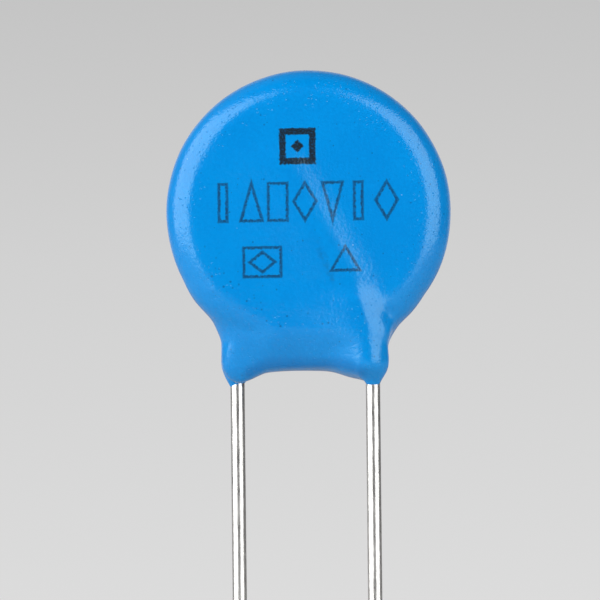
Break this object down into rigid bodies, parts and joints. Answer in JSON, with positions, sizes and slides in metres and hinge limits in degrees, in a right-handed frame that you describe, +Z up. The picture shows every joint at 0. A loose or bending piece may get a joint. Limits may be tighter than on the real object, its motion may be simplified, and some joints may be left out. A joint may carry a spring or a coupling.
{
  "type": "metal-oxide varistor",
  "caption": "Flat round varistor in a glossy blue epoxy dip coat, with straight tinned wire leads that run down from its lower edge.",
  "frame": {"origin": "on the seating plane, where the coat ends on the leads, midway between the two leads", "axes": "+Z up from the leads to the disc, +X across the part from the rear lead to the front lead, -Y out of the front face"},
  "size_m": [0.0158, 0.0056, 0.0425],
  "materials": {
    "epoxy": "glossy dip-coated epoxy",
    "tinned_wire": "bright tinned copper",
    "ceramic": "sintered zinc oxide",
    "silver": "fired silver, matt",
    "solder": "bright solder"
  },
  "bodies": {
    "root": {"epoxy_coating": "epoxy", "front_lead": "tinned_wire", "rear_lead": "tinned_wire", "ceramic_disc": "ceramic", "front_electrode": "silver", "rear_electrode": "silver", "front_solder": "solder", "rear_solder": "solder"}
  },
  "joints": []
}
